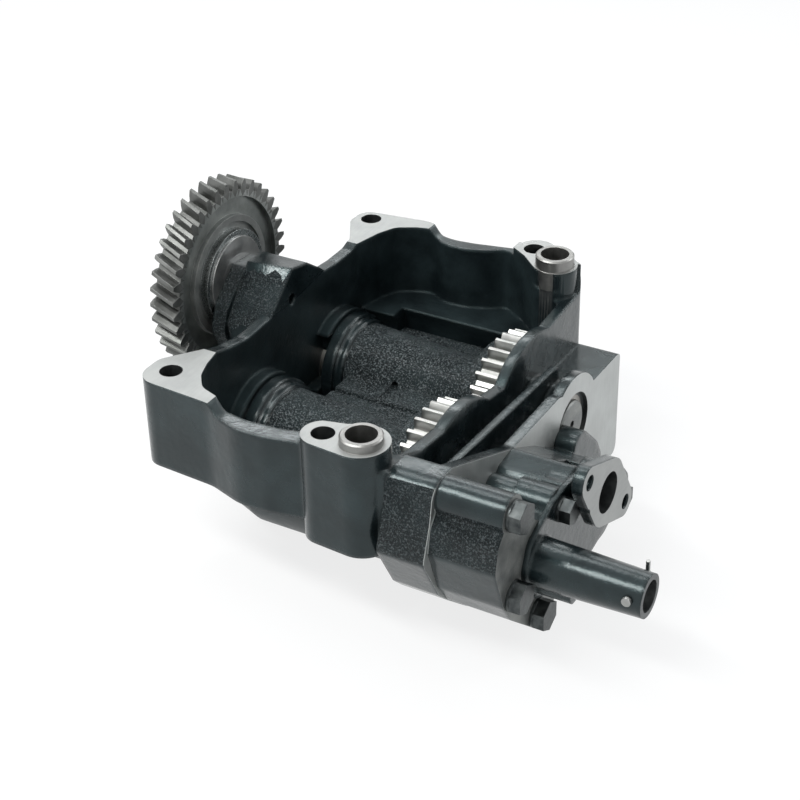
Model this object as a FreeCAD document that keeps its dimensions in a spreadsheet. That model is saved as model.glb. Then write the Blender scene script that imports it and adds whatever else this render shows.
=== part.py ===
import FreeCAD, Part
import math
import os
import re

import Sketcher
from FreeCAD import Rotation, Vector

# Engine balancer: two contra-rotating weighted shafts in an open-topped cast housing, driven by a
# helical gear on a fixed spindle, with a gear oil pump and its relief valve bolted to the rear face.
# The mounting pads lie in the plane z = 0, the origin is midway between the two front mounting
# bolts, X runs along the shafts towards the pump, Y across them and Z up. Millimetres throughout.

doc = FreeCAD.newDocument("EngineBalancer")

sizes = {
    # Mounting pads, bolts and ring dowels
    "front_bolt_half_spacing": 107.4,
    "bolt_hole_radius": 6.5,
    "rear_near_bolt_x": 107.1,
    "rear_near_bolt_y": -121.5,
    "rear_far_bolt_x": 110.4,
    "rear_far_bolt_y": 117.8,
    "near_dowel_x": 129.3,
    "near_dowel_y": -119.6,
    "far_dowel_x": 130.7,
    "far_dowel_y": 104.4,
    "dowel_outer_radius": 11.7,
    "dowel_inner_radius": 8.6,
    "dowel_seat_depth": 12.0,
    "dowel_seat_radius": 12.1,
    "dowel_chamfer": 0.8,
    "near_dowel_stand": 5.0,
    "far_dowel_stand": 7.5,
    "gallery_depth": 30.0,
    "bolt_boss_radius": 12.0,
    "near_dowel_boss_radius": 16.2,
    "far_dowel_boss_radius": 13.4,
    # Housing walls
    "wall_depth": 54.0,
    "near_boss_depth": 63.0,
    "cavity_depth": 46.0,
    "front_wall_outer_x": 3.0,
    "front_wall_inner_x": 10.0,
    "rear_wall_inner_x": 140.2,
    "rear_wall_outer_x": 146.6,
    "rear_face_x": 173.6,
    "trench_end_x": 167.0,
    "trough_radius": 52.0,
    "trough_nose_radius": 42.0,
    "trough_nose_end_x": 34.0,
    "trough_wall": 4.0,
    # Shaft lines
    "shaft_half_spacing": 44.0,
    "shaft_drop": 68.0,
    "front_journal_radius": 17.0,
    "rear_journal_radius": 15.0,
    "bush_wall": 3.0,
    "running_clearance": 0.05,
    "front_boss_radius": 35.0,
    "front_boss_inner_x": 18.0,
    "near_boss_outer_x": -8.0,
    "far_boss_outer_x": -27.0,
    "boss_outer_radius": 29.0,
    "rear_boss_radius": 24.0,
    "rear_counterbore_radius": 20.5,
    "rear_counterbore_depth": 3.0,
    "rear_lobe_radius": 32.0,
    "thrust_washer_thickness": 1.2,
    "thrust_washer_radius": 27.0,
    # Balance shafts
    "collar_radius": 33.0,
    "collar_end_x": 26.6,
    "step_radius": 30.5,
    "step_end_x": 32.0,
    "barrel_front_radius": 28.5,
    "barrel_rear_radius": 22.7,
    "flange_radius": 38.5,
    "flange_front_x": 116.6,
    "flange_rear_x": 123.7,
    "gear_seat_radius": 19.0,
    "weight_radius": 43.0,
    "weight_top_above_axis": 9.0,
    "weight_front_x": 35.6,
    # Timing gears between the two shafts
    "timing_teeth": 32,
    "timing_gear_width": 15.0,
    "timing_phase_deg": 2.3,
    "tooth_thinning": 0.15,
    "pressure_angle_deg": 20.0,
    # Helical drive from the spindle gear to the far shaft
    "helix_angle_deg": 20.0,
    "drive_teeth": 38,
    "pinion_teeth": 18,
    "drive_gear_front_x": -50.4,
    "drive_gear_width": 16.4,
    "drive_phase_deg": 91.3,
    "rim_recess_radius": 48.0,
    "rim_recess_depth": 3.2,
    "hub_ring_radius": 37.0,
    "hub_disc_radius": 29.0,
    "hub_disc_stand": 3.6,
    "spindle_radius": 14.0,
    "spindle_spigot_radius": 8.5,
    "spindle_spigot_end_x": 0.0,
    "gear_bush_wall": 2.5,
    "spindle_washer_radius": 21.0,
    "spindle_washer_thickness": 4.0,
    "spindle_bolt_radius": 5.0,
    "gear_boss_flange_x": -29.4,
    "gear_boss_neck_x": -20.4,
    "tapped_hole_y": -1.1,
    "tapped_hole_z": -3.6,
    "tapped_hole_radius": 3.4,
    "tapped_hole_depth": 8.0,
    "pinion_bolt_radius": 5.0,
    "pinion_washer_radius": 15.0,
    "pinion_seat_radius": 14.0,
    # Oil pump
    "pump_rear_x": 212.6,
    "pump_pocket_depth": 28.0,
    "pump_module": 3.5,
    "pump_teeth": 11,
    "pump_pressure_angle_deg": 25.0,
    "pump_tip_clearance": 0.1,
    "pump_end_clearance": 0.1,
    "pump_shaft_radius": 9.0,
    "idler_radius": 8.0,
    "pump_ear_thickness": 13.0,
    "pump_ridge_radius": 11.0,
    "pump_bolt_radius": 5.0,
    "pump_bolt_grip": 13.0,
    "cover_bolt_grip": 11.0,
    "bolt_head_height": 6.6,
    "bolt_flange_height": 1.6,
    "cover_plate_rear_x": 215.6,
    "cover_bolt_radius": 4.0,
    # Suction elbow and its flange
    "flange_plane_x": 230.6,
    "suction_flange_thickness": 6.5,
    "port_y": -34.0,
    "port_z": -50.0,
    "port_radius": 11.9,
    "flange_hole_half_spacing": 32.65,
    "flange_slope_deg": 40.2,
    "flange_hole_radius": 4.6,
    "flange_eye_radius": 9.0,
    "flange_middle_radius": 19.5,
    # Relief valve in its tube
    "valve_y": -86.0,
    "valve_z": -67.0,
    "valve_end_x": 278.0,
    "valve_root_radius": 14.0,
    "valve_end_radius": 12.2,
    "valve_bore_radius": 8.9,
    "valve_seat_x": 224.0,
    "plunger_radius": 8.84,
    "plunger_length": 16.0,
    "cap_thickness": 4.0,
    "split_pin_x": 270.8,
    "split_pin_rise": 3.0,
    "split_pin_radius": 1.5,
    "split_pin_head_radius": 2.6,
    "split_pin_leg": 8.0,
    "spring_wire_radius": 0.9,
    "spring_coils": 6,
    "spring_steps": 10,
}

sheet = doc.addObject("Spreadsheet::Sheet", "Sizes")
for row, (alias, number) in enumerate(sizes.items(), start=1):
    sheet.set(f"A{row}", alias)
    sheet.set(f"B{row}", str(number))
    sheet.setAlias(f"B{row}", alias)
doc.recompute()


def size(alias):
    """The number that the sheet holds under this alias."""
    return float(sheet.get(alias))


def linked(formula):
    """A formula in the sheet's words, written the way an expression refers to them."""
    return re.sub(r"[a-z_]+[a-z]", lambda word: f"Sizes.{word[0]}" if word[0] in sizes else word[0], formula)


def bind(obj, **formulas):
    """Tie properties to formulas; two underscores stand for a dot in a property's path."""
    for path, formula in formulas.items():
        obj.setExpression(path.replace("__", "."), linked(str(formula)))


PUMP_BOLTS = (("-112.5", "-22"), ("-111", "-73.5"), ("-82", "-104.5"))
COVER_BOLTS = (("-61", "-49"), ("-42", "-99"), ("12", "-84"))

# Body, sketch and feature helpers

AXES_YZ = Rotation(Vector(1, 1, 1), 120)


def new_body(label, x="0", y="0", z="0"):
    body = doc.addObject("PartDesign::Body", label)
    body.Label = label
    bind(body, Placement__Base__x=x, Placement__Base__y=y, Placement__Base__z=z)
    return body


def new_sketch(body, plane, offset="0"):
    """A sketch on one of the body's own planes, moved along the plane's normal."""
    sketch = body.newObject("Sketcher::SketchObject", f"{body.Name}_sketch")
    support = next(item for item in body.Origin.OriginFeatures if item.Role == plane)
    sketch.AttachmentSupport = [(support, "")]
    sketch.MapMode = "FlatFace"
    bind(sketch, AttachmentOffset__Base__z=offset)
    return sketch


def add_circle(sketch, u, v, radius):
    """A circle whose centre and radius are tied to formulas."""
    index = sketch.addGeometry(Part.Circle(Vector(0, 0, 0), Vector(0, 0, 1), 1.0))
    for kind, formula in (("DistanceX", u), ("DistanceY", v)):
        place = sketch.addConstraint(Sketcher.Constraint(kind, -1, 1, index, 3, 0.0))
        sketch.setExpression(f"Constraints[{place}]", linked(formula))
    place = sketch.addConstraint(Sketcher.Constraint("Radius", index, 1.0))
    sketch.setExpression(f"Constraints[{place}]", linked(radius))


def add_polygon(sketch, corners):
    """A closed polygon with every corner's two coordinates tied to formulas."""
    count = len(corners)
    start = len(sketch.Geometry)
    ring = [Vector(10 * math.cos(2 * math.pi * i / count), 10 * math.sin(2 * math.pi * i / count), 0)
            for i in range(count)]
    for i in range(count):
        sketch.addGeometry(Part.LineSegment(ring[i], ring[(i + 1) % count]))
    for i, (u, v) in enumerate(corners):
        before = start + (i - 1) % count
        sketch.addConstraint(Sketcher.Constraint("Coincident", before, 2, start + i, 1))
        for kind, formula, value in (("DistanceX", u, ring[i].x), ("DistanceY", v, ring[i].y)):
            place = sketch.addConstraint(Sketcher.Constraint(kind, -1, 1, start + i, 1, value))
            sketch.setExpression(f"Constraints[{place}]", linked(formula))


def add_edges(sketch, edges):
    for edge in edges:
        sketch.addGeometry(edge)


def pad(body, sketch, length):
    feature = body.newObject("PartDesign::Pad", f"{body.Name}_pad")
    feature.Profile = sketch
    feature.Refine = False
    bind(feature, Length=length)
    return feature


def pocket(body, sketch, length, forward=True):
    """A pocket that runs along the sketch's normal, or against it."""
    feature = body.newObject("PartDesign::Pocket", f"{body.Name}_pocket")
    feature.Profile = sketch
    feature.Refine = False
    feature.Reversed = forward
    bind(feature, Length=length)
    return feature


def pad_circle(body, plane, start, u, v, radius, length):
    sketch = new_sketch(body, plane, start)
    add_circle(sketch, u, v, radius)
    return pad(body, sketch, length)


def pocket_circle(body, plane, start, u, v, radius, length):
    sketch = new_sketch(body, plane, start)
    add_circle(sketch, u, v, radius)
    return pocket(body, sketch, length)


def pad_edges(body, plane, start, edges, length):
    sketch = new_sketch(body, plane, start)
    add_edges(sketch, edges)
    return pad(body, sketch, length)


def pocket_edges(body, plane, start, edges, length):
    sketch = new_sketch(body, plane, start)
    add_edges(sketch, edges)
    return pocket(body, sketch, length)


def turned(body, corners, plane="XY_Plane", axis="H_Axis"):
    """A solid of revolution about the body's X axis; corners are (along, radius) formulas."""
    sketch = new_sketch(body, plane)
    add_polygon(sketch, corners)
    feature = body.newObject("PartDesign::Revolution", f"{body.Name}_turn")
    feature.Profile = sketch
    feature.ReferenceAxis = (sketch, [axis])
    feature.Angle = 360
    feature.Refine = False
    return feature


def tube_profile(start, end, inner, outer):
    return [(start, inner), (end, inner), (end, outer), (start, outer)]


def rounded(corners):
    """Lines and arcs round a closed outline; corners are (u, v, radius)."""
    count = len(corners)
    trims = []
    for i, (u, v, radius) in enumerate(corners):
        here = Vector(u, v, 0)
        back = Vector(*corners[i - 1][:2], 0) - here
        ahead = Vector(*corners[(i + 1) % count][:2], 0) - here
        half = back.getAngle(ahead) / 2
        reach = radius / math.tan(half) if radius else 0.0
        reach = min(reach, 0.49 * back.Length, 0.49 * ahead.Length)
        back.normalize()
        ahead.normalize()
        bisector = back + ahead
        depth = 0.0
        if reach > 0.01 and bisector.Length > 1e-6:
            fitted = reach * math.tan(half)
            bisector.normalize()
            depth = fitted / math.sin(half) - fitted
            trims.append((here + back * reach, here + bisector * depth, here + ahead * reach))
        else:
            trims.append((here, None, here))
    edges = []
    for i in range(count):
        first, middle, last = trims[i]
        if middle is not None:
            edges.append(Part.Arc(first, middle, last))
        edges.append(Part.LineSegment(last, trims[(i + 1) % count][0]))
    return edges


def hull(circles):
    """Lines and arcs round a chain of circles, each (u, v, radius), in anticlockwise order."""
    count = len(circles)
    tangents = []
    for i in range(count):
        u1, v1, r1 = circles[i]
        u2, v2, r2 = circles[(i + 1) % count]
        gap = math.hypot(u2 - u1, v2 - v1)
        angle = math.atan2(v2 - v1, u2 - u1) - math.acos((r1 - r2) / gap)
        tangents.append(angle)
    edges = []
    for i in range(count):
        u1, v1, r1 = circles[i]
        u2, v2, r2 = circles[(i + 1) % count]
        angle = tangents[i]
        start = Vector(u1 + r1 * math.cos(angle), v1 + r1 * math.sin(angle), 0)
        end = Vector(u2 + r2 * math.cos(angle), v2 + r2 * math.sin(angle), 0)
        edges.append(Part.LineSegment(start, end))
        following = tangents[(i + 1) % count]
        turn = (following - angle) % (2 * math.pi)
        middle = angle + turn / 2
        last = angle + turn
        edges.append(Part.Arc(end, Vector(u2 + r2 * math.cos(middle), v2 + r2 * math.sin(middle), 0),
                              Vector(u2 + r2 * math.cos(last), v2 + r2 * math.sin(last), 0)))
    return edges


# Gear teeth

TIMING_MODULE = "(2 * shaft_half_spacing / timing_teeth)"


def timing_module():
    """Module at which the two timing gears' pitch circles touch midway between the shafts."""
    return 2 * size("shaft_half_spacing") / size("timing_teeth")


def involute(angle):
    return math.tan(angle) - angle


def half_tooth_angle(radius, teeth, pitch_radius, pressure_angle):
    """Half the angle that a thinned involute tooth fills at a radius."""
    base_radius = pitch_radius * math.cos(pressure_angle)
    at_pitch = math.pi / (2 * teeth) - size("tooth_thinning") / (2 * pitch_radius)
    if radius <= base_radius:
        return at_pitch + involute(pressure_angle)
    return at_pitch + involute(pressure_angle) - involute(math.acos(base_radius / radius))


def tooth_edges(teeth, module, pressure_angle, addendum, phase, curved=True):
    """The closed outline of a gear, with a tooth's centre line at the phase angle (radians)."""
    pitch_radius = teeth * module / 2
    base_radius = pitch_radius * math.cos(pressure_angle)
    tip_radius = pitch_radius + addendum
    root_radius = pitch_radius - 1.25 * addendum
    start_radius = max(base_radius, root_radius)
    middle_radius = (start_radius + tip_radius) / 2
    step = 2 * math.pi / teeth

    def spot(radius, angle):
        return Vector(radius * math.cos(angle), radius * math.sin(angle), 0)

    def half(radius):
        return half_tooth_angle(radius, teeth, pitch_radius, pressure_angle)

    edges = []
    for k in range(teeth):
        centre = phase + k * step
        radii = [start_radius, middle_radius, tip_radius]
        rising = [spot(radius, centre - half(radius)) for radius in radii]
        falling = [spot(radius, centre + half(radius)) for radius in reversed(radii)]
        foot = spot(root_radius, centre - half(start_radius))
        heel = spot(root_radius, centre + half(start_radius))
        next_foot = spot(root_radius, centre + step - half(start_radius))
        if start_radius > root_radius + 0.01:
            edges.append(Part.LineSegment(foot, rising[0]))
        else:
            foot = rising[0]
        if curved:
            edges.append(Part.Arc(*rising))
        else:
            edges.append(Part.LineSegment(rising[0], rising[1]))
            edges.append(Part.LineSegment(rising[1], rising[2]))
        edges.append(Part.LineSegment(rising[2], falling[0]))
        if curved:
            edges.append(Part.Arc(*falling))
        else:
            edges.append(Part.LineSegment(falling[0], falling[1]))
            edges.append(Part.LineSegment(falling[1], falling[2]))
        if start_radius > root_radius + 0.01:
            edges.append(Part.LineSegment(falling[2], heel))
            edges.append(Part.LineSegment(heel, next_foot))
        else:
            edges.append(Part.LineSegment(falling[2], spot(start_radius, centre + step - half(start_radius))))
    return edges


def ruled_solid(rings):
    """A solid through rings of straight edges, ruled edge by edge from one ring to the next."""
    faces = [Part.Face(Part.Wire(rings[0])), Part.Face(Part.Wire(rings[-1]))]
    for lower, upper in zip(rings, rings[1:]):
        faces += [Part.makeRuledSurface(first, second) for first, second in zip(lower, upper)]
    shell = Part.makeShell(faces)
    shell.sewShape()
    solid = Part.makeSolid(shell)
    if solid.Volume < 0:
        solid.reverse()
    return solid


def helical_gear(teeth, phase, twist_per_mm, width, sections):
    """A helical gear blank along X from x = 0, its flanks ruled between turned copies of its outline."""
    slant = math.cos(math.radians(size("helix_angle_deg")))
    pressure = math.atan(math.tan(math.radians(size("pressure_angle_deg"))) / slant)
    rings = []
    for k in range(sections):
        x = width * k / (sections - 1)
        ring = [edge.toShape() for edge in tooth_edges(teeth, timing_module() / slant, pressure,
                                                       timing_module(), phase + twist_per_mm * x, False)]
        for edge in ring:
            edge.Placement = FreeCAD.Placement(Vector(x, 0, 0), AXES_YZ)
        rings.append(ring)
    return ruled_solid(rings)


def shape_part(label, shape, x=0.0, y=0.0, z=0.0):
    """A sub-part whose shape comes from solid functions, placed afterwards."""
    part = doc.addObject("Part::Feature", label)
    part.Label = label
    part.Shape = shape
    part.Placement = FreeCAD.Placement(Vector(x, y, z), Rotation()) * shape.Placement
    return part


def cylinder_x(x1, x2, radius, y=0.0, z=0.0):
    return Part.makeCylinder(radius, x2 - x1, Vector(x1, y, z), Vector(1, 0, 0))


def hexagon(width, u=0.0, v=0.0):
    """Six edges of a hexagon of this width across flats."""
    radius = width / math.sqrt(3)
    spots = [Vector(u + radius * math.cos(math.radians(60 * k + 30)),
                    v + radius * math.sin(math.radians(60 * k + 30)), 0) for k in range(6)]
    return [Part.LineSegment(spots[k], spots[(k + 1) % 6]) for k in range(6)]


# Housing: an open-topped casting with four bolting bosses, two shaft troughs, and a rear bulkhead
# that carries the rear bearings and the pump.

def wall_plan():
    """Outer plan outline of the casting's walls."""
    front = size("front_wall_outer_x")
    rear = size("rear_wall_outer_x")
    return rounded([
        (-13.5, -122.5, 14), (36, -125.5, 25), (58, -132.5, 30), (76, -132, 30), (100, -127, 10),
        (rear, -127, 6), (rear, 112, 8), (118, 124, 8), (98, 122, 8), (70, 116, 30), (52, 114, 30),
        (36, 121.5, 20), (-10.5, 115.5, 10), (-10.5, 99, 8), (front, 76, 8), (front, -78, 8),
        (-13.5, -100, 10)])


def cavity_plan():
    """Inner plan outline of the open crankcase side."""
    front = size("front_wall_inner_x")
    rear = size("rear_wall_inner_x")
    return rounded([
        (front, -78, 4), (13, -92, 8), (17, -103, 12), (25, -113.5, 12), (44, -120, 20),
        (60, -122.5, 20), (82, -120.5, 20), (94, -117, 6), (98, -112, 8), (114, -108, 8),
        (125, -102.3, 12), (rear, -104, 10), (rear, 94, 6), (125, 92, 14), (109, 107, 14),
        (98, 114, 6), (92, 117.5, 6), (82, 111, 20), (70, 106.5, 20), (54, 105.5, 20), (42, 113.5, 12),
        (31, 110, 10), (20, 104, 10), (14.5, 92, 10), (front, 72, 4)])


def rear_section():
    """Section of the rear bulkhead, which the pump's flank continues."""
    return rounded([
        (-124, -11, 11), (-128, -32, 10), (-135.5, -53, 6), (-119, -83, 10), (-110, -92, 12),
        (-86, -113, 16), (-60, -120, 20), (-22, -118, 18), (0, -108, 12), (22, -118, 18),
        (60, -120, 20), (90, -124, 6), (110.5, -124, 6), (110.5, -52, 4), (62, -52, 4),
        (24, -38.5, 6), (-34.3, -39.3, 10), (-104, -11, 4)])


def make_housing():
    body = new_body("housing")
    axes = (("-shaft_half_spacing", "near_boss_outer_x"), ("shaft_half_spacing", "far_boss_outer_x"))

    pad_edges(body, "XY_Plane", "-wall_depth", wall_plan(), "wall_depth")

    # Rims of the four walls, lower than the pads
    near_rim = rounded([(37, 10, 0), (37, 0, 2), (44, -6, 8), (101, -6, 0), (101, 10, 0)])
    pocket_edges(body, "XZ_Plane", "90", near_rim, "60")
    far_rim = rounded([(39, 10, 0), (39, 0, 2), (46, -5, 8), (98, -5, 0), (98, 10, 0)])
    pocket_edges(body, "XZ_Plane", "-140", far_rim, "60")
    rear_rim = rounded([(112, 10, 0), (112, -7, 0), (108, -16.4, 4), (74, -18.9, 20), (61, -20.4, 20),
                        (35, -27.5, 20), (10, -31, 30), (-32, -24.6, 30), (-55, -20.5, 20),
                        (-91, -17, 10), (-104, -15, 0), (-128, -11, 0), (-140, -11, 0), (-140, 10, 0)])
    pocket_edges(body, "YZ_Plane", "rear_wall_inner_x - 8", rear_rim, "20")
    front_rim = rounded([(-82, 10, 0), (-79.7, 0, 2), (-66.9, -3.6, 10), (-48, -6.8, 20), (-27.7, -5.6, 5),
                         (30.5, -1, 5), (49.5, -2.6, 10), (67, -2.2, 5), (73.4, 0, 2), (76, 10, 0)])
    pocket_edges(body, "YZ_Plane", "-14", front_rim, "front_wall_inner_x + 16")

    # Bolting bosses at the rear corners
    near_boss = hull([(size("rear_near_bolt_x"), size("rear_near_bolt_y"), size("bolt_boss_radius")),
                      (size("near_dowel_x") - 1.3, size("near_dowel_y") + 0.8, size("near_dowel_boss_radius"))])
    pad_edges(body, "XY_Plane", "-near_boss_depth", near_boss, "near_boss_depth")
    far_boss = hull([(size("rear_far_bolt_x") + 1.1, size("rear_far_bolt_y") + 0.5, size("bolt_boss_radius")),
                     (size("far_dowel_x") + 0.2, size("far_dowel_y") + 0.8, size("far_dowel_boss_radius"))])
    pad_edges(body, "XY_Plane", "-wall_depth", far_boss, "wall_depth")

    # Shaft troughs under the walls, and the rear bulkhead
    for y, outer_end in axes:
        nose = body.newObject("PartDesign::AdditiveLoft", "housing_nose")
        rings = []
        for x, radius in (("front_wall_outer_x", "trough_nose_radius"), ("trough_nose_end_x", "trough_radius")):
            ring = new_sketch(body, "YZ_Plane", x)
            add_circle(ring, y, "-shaft_drop", radius)
            rings.append(ring)
        nose.Profile = rings[0]
        nose.Sections = [rings[1]]
        nose.Ruled = True
        nose.Refine = False
        body.Tip = nose
        pad_circle(body, "YZ_Plane", "trough_nose_end_x", y, "-shaft_drop", "trough_radius",
                   "rear_wall_outer_x - trough_nose_end_x")
        pad_circle(body, "YZ_Plane", outer_end, y, "-shaft_drop", "boss_outer_radius",
                   f"front_wall_outer_x + 2 - ({outer_end})")
    pad_edges(body, "YZ_Plane", "rear_wall_outer_x - 1", rear_section(), "rear_face_x - rear_wall_outer_x + 1")
    pad_circle(body, "YZ_Plane", "trench_end_x", "shaft_half_spacing", "-shaft_drop", "rear_lobe_radius",
               "rear_face_x - trench_end_x")

    # Open inside: the plan opening, then a trough round each shaft's weight
    pocket_edges(body, "XY_Plane", "-cavity_depth", cavity_plan(), "cavity_depth + 20")
    for y, outer_end in axes:
        pocket_circle(body, "YZ_Plane", "trough_nose_end_x", y, "-shaft_drop", "trough_radius - trough_wall",
                      "rear_wall_inner_x - trough_nose_end_x")
        pocket_circle(body, "YZ_Plane", "front_wall_inner_x", y, "-shaft_drop",
                      "trough_nose_radius - trough_wall", "trough_nose_end_x - front_wall_inner_x + 1")
        pad_circle(body, "YZ_Plane", "front_wall_inner_x - 1", y, "-shaft_drop", "front_boss_radius",
                   "front_boss_inner_x - front_wall_inner_x + 1")

    between = rounded([(-30, -40, 0), (30, -40, 0), (30, -70, 0), (-30, -70, 0)])
    pocket_edges(body, "YZ_Plane", "front_wall_inner_x", between, "rear_wall_inner_x - front_wall_inner_x")

    # Trench between rear wall and bulkhead, crossed by a thin rib, over the rear bearing bosses
    trench = rounded([(-104, 5, 0), (-104, -40, 8), (-94, -54, 8), (58, -54, 4), (60, 5, 0)])
    pocket_edges(body, "YZ_Plane", "rear_wall_outer_x", trench, "trench_end_x - rear_wall_outer_x")
    rib = rounded([(-100, -60, 0), (-100, -28, 3), (-55, -30, 0), (51, -35, 3), (56, -60, 0)])
    pad_edges(body, "YZ_Plane", "(rear_wall_outer_x + trench_end_x) / 2 - 1", rib, "4")
    for y, outer_end in axes:
        pad_circle(body, "YZ_Plane", "rear_wall_outer_x - 1", y, "-shaft_drop", "rear_boss_radius",
                   "trench_end_x - rear_wall_outer_x + 2")

    # Boss of the drive gear's spindle on the front wall: end flange, neck and spreading column
    column = body.newObject("PartDesign::AdditiveLoft", "housing_column")
    narrow = new_sketch(body, "YZ_Plane", "gear_boss_neck_x")
    add_edges(narrow, rounded([(-1, 14.2, 0), (15.5, 13.2, 0), (24, 5, 0), (27, -16, 0), (24, -40, 0),
                               (-20, -40, 0), (-25, -16, 0), (-12, 0.5, 0)]))
    wide = new_sketch(body, "YZ_Plane", "front_wall_inner_x")
    add_edges(wide, rounded([(0.7, 15.8, 0), (16.7, 12.5, 0), (30, 3, 0), (48, -12, 0), (46, -66, 0),
                             (-46, -66, 0), (-58, -30, 0), (-20, -2, 0)]))
    column.Profile = narrow
    column.Sections = [wide]
    column.Ruled = True
    column.Refine = False
    body.Tip = column
    flange = rounded([(-4, 11.2, 5), (14, 10.6, 8), (28, 5, 10), (31, -18, 12), (22, -44, 10),
                      (-20, -44, 10), (-30, -20, 12), (-24, -6, 8)])
    pad_edges(body, "YZ_Plane", "gear_boss_flange_x", flange, "gear_boss_neck_x - gear_boss_flange_x")

    # Bores for the bushes, the spindle, the mounting bolts and the ring dowels
    for y, outer_end in axes:
        pocket_circle(body, "YZ_Plane", f"{outer_end} - 1", y, "-shaft_drop",
                      "front_journal_radius + bush_wall", f"front_boss_inner_x + 2 - ({outer_end})")
        pocket_circle(body, "YZ_Plane", "rear_wall_inner_x - 2", y, "-shaft_drop",
                      "rear_journal_radius + bush_wall", "rear_face_x - rear_wall_inner_x + 4")
        pocket_circle(body, "YZ_Plane", "rear_face_x - rear_counterbore_depth", y, "-shaft_drop",
                      "rear_counterbore_radius", "rear_counterbore_depth + 1")
    pocket_circle(body, "YZ_Plane", "gear_boss_flange_x - 1", "0", gear_height(), "spindle_spigot_radius",
                  "spindle_spigot_end_x - gear_boss_flange_x + 1")
    pocket_circle(body, "YZ_Plane", "front_wall_inner_x - tapped_hole_depth", "tapped_hole_y", "tapped_hole_z",
                  "tapped_hole_radius", "tapped_hole_depth + 10")
    bolts = (("0", "-front_bolt_half_spacing"), ("0", "front_bolt_half_spacing"),
             ("rear_near_bolt_x", "rear_near_bolt_y"), ("rear_far_bolt_x", "rear_far_bolt_y"))
    for x, y in bolts:
        pocket_circle(body, "XY_Plane", "-near_boss_depth - 5", x, y, "bolt_hole_radius", "near_boss_depth + 10")
    for y, z in PUMP_BOLTS:
        pocket_circle(body, "YZ_Plane", "rear_face_x - pump_bolt_grip - 2", y, z, "pump_bolt_radius",
                      "pump_bolt_grip + 4")
    for side in ("near", "far"):
        x = f"{side}_dowel_x"
        y = f"{side}_dowel_y"
        pocket_circle(body, "XY_Plane", "-dowel_seat_depth", x, y, "dowel_seat_radius", "dowel_seat_depth + 9")
        pocket_circle(body, "XY_Plane", "-gallery_depth", x, y, "dowel_inner_radius", "gallery_depth + 5")
    return body


def pair_distance():
    """Centre distance of the helical pair."""
    module = timing_module() / math.cos(math.radians(size("helix_angle_deg")))
    return module * (size("drive_teeth") + size("pinion_teeth")) / 2


def gear_height_value():
    return math.sqrt(pair_distance() ** 2 - size("shaft_half_spacing") ** 2) - size("shaft_drop")


def gear_height():
    """Formula of the drive gear's axis height: its pinion sits on the far shaft."""
    distance = f"({TIMING_MODULE} * (drive_teeth + pinion_teeth) / (2 * cos(helix_angle_deg * 1deg)))"
    return f"sqrt({distance} ^ 2 - shaft_half_spacing ^ 2) - shaft_drop"


# Ring dowels and bushes

def make_dowels():
    for side in ("near", "far"):
        body = new_body(f"ring_dowel_{side}", f"{side}_dowel_x", f"{side}_dowel_y")
        stand = f"{side}_dowel_stand"
        turned(body, [("dowel_inner_radius", "-dowel_seat_depth"), ("dowel_seat_radius", "-dowel_seat_depth"),
                      ("dowel_seat_radius", "0"), ("dowel_outer_radius", "0"),
                      ("dowel_outer_radius", f"{stand} - dowel_chamfer"),
                      ("dowel_outer_radius - dowel_chamfer", stand), ("dowel_inner_radius", stand)],
               "XZ_Plane", "V_Axis")


def make_bushes():
    for side, sign in (("near", "-"), ("far", "")):
        y = f"{sign}shaft_half_spacing"
        start = "near_boss_outer_x" if side == "near" else "far_boss_outer_x"
        front = new_body(f"front_bush_{side}", "0", y, "-shaft_drop")
        turned(front, tube_profile(start, "front_boss_inner_x", "front_journal_radius + running_clearance",
                                   "front_journal_radius + bush_wall"))
        rear = new_body(f"rear_bush_{side}", "0", y, "-shaft_drop")
        turned(rear, tube_profile("rear_wall_inner_x", "rear_face_x - rear_counterbore_depth",
                                  "rear_journal_radius + running_clearance",
                                  "rear_journal_radius + bush_wall"))
        washer = new_body(f"thrust_washer_{side}", "0", y, "-shaft_drop")
        turned(washer, tube_profile("front_boss_inner_x", "front_boss_inner_x + thrust_washer_thickness",
                                    "front_journal_radius + 0.3", "thrust_washer_radius"))


# Balance shafts with their half-round weights

def shaft_profile(front_end, rear_corners):
    collar_start = "front_boss_inner_x + thrust_washer_thickness + 0.1"
    return [
        (front_end, "0"), (front_end, "front_journal_radius - 1"), (f"{front_end} + 1", "front_journal_radius"),
        (collar_start, "front_journal_radius"), (collar_start, "collar_radius"),
        ("collar_end_x", "collar_radius"), ("collar_end_x", "step_radius"),
        ("step_end_x", "step_radius"), ("step_end_x", "barrel_front_radius"),
        ("flange_front_x", "barrel_rear_radius"), ("flange_front_x", "flange_radius"),
        ("flange_rear_x", "flange_radius"), ("flange_rear_x", "gear_seat_radius"),
        ("flange_rear_x + timing_gear_width", "gear_seat_radius"),
        ("flange_rear_x + timing_gear_width", "rear_journal_radius")] + rear_corners


def add_weight(body):
    """The half-round weight below the shaft, its flat top a little above the axis."""
    sketch = new_sketch(body, "YZ_Plane", "weight_front_x")
    radius = size("weight_radius")
    rise = size("weight_top_above_axis")
    reach = math.sqrt(radius ** 2 - rise ** 2)
    add_edges(sketch, [Part.Arc(Vector(-reach, rise, 0), Vector(0, -radius, 0), Vector(reach, rise, 0)),
                       Part.LineSegment(Vector(reach, rise, 0), Vector(-reach, rise, 0))])
    pad(body, sketch, "flange_front_x - weight_front_x + 1")


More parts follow.
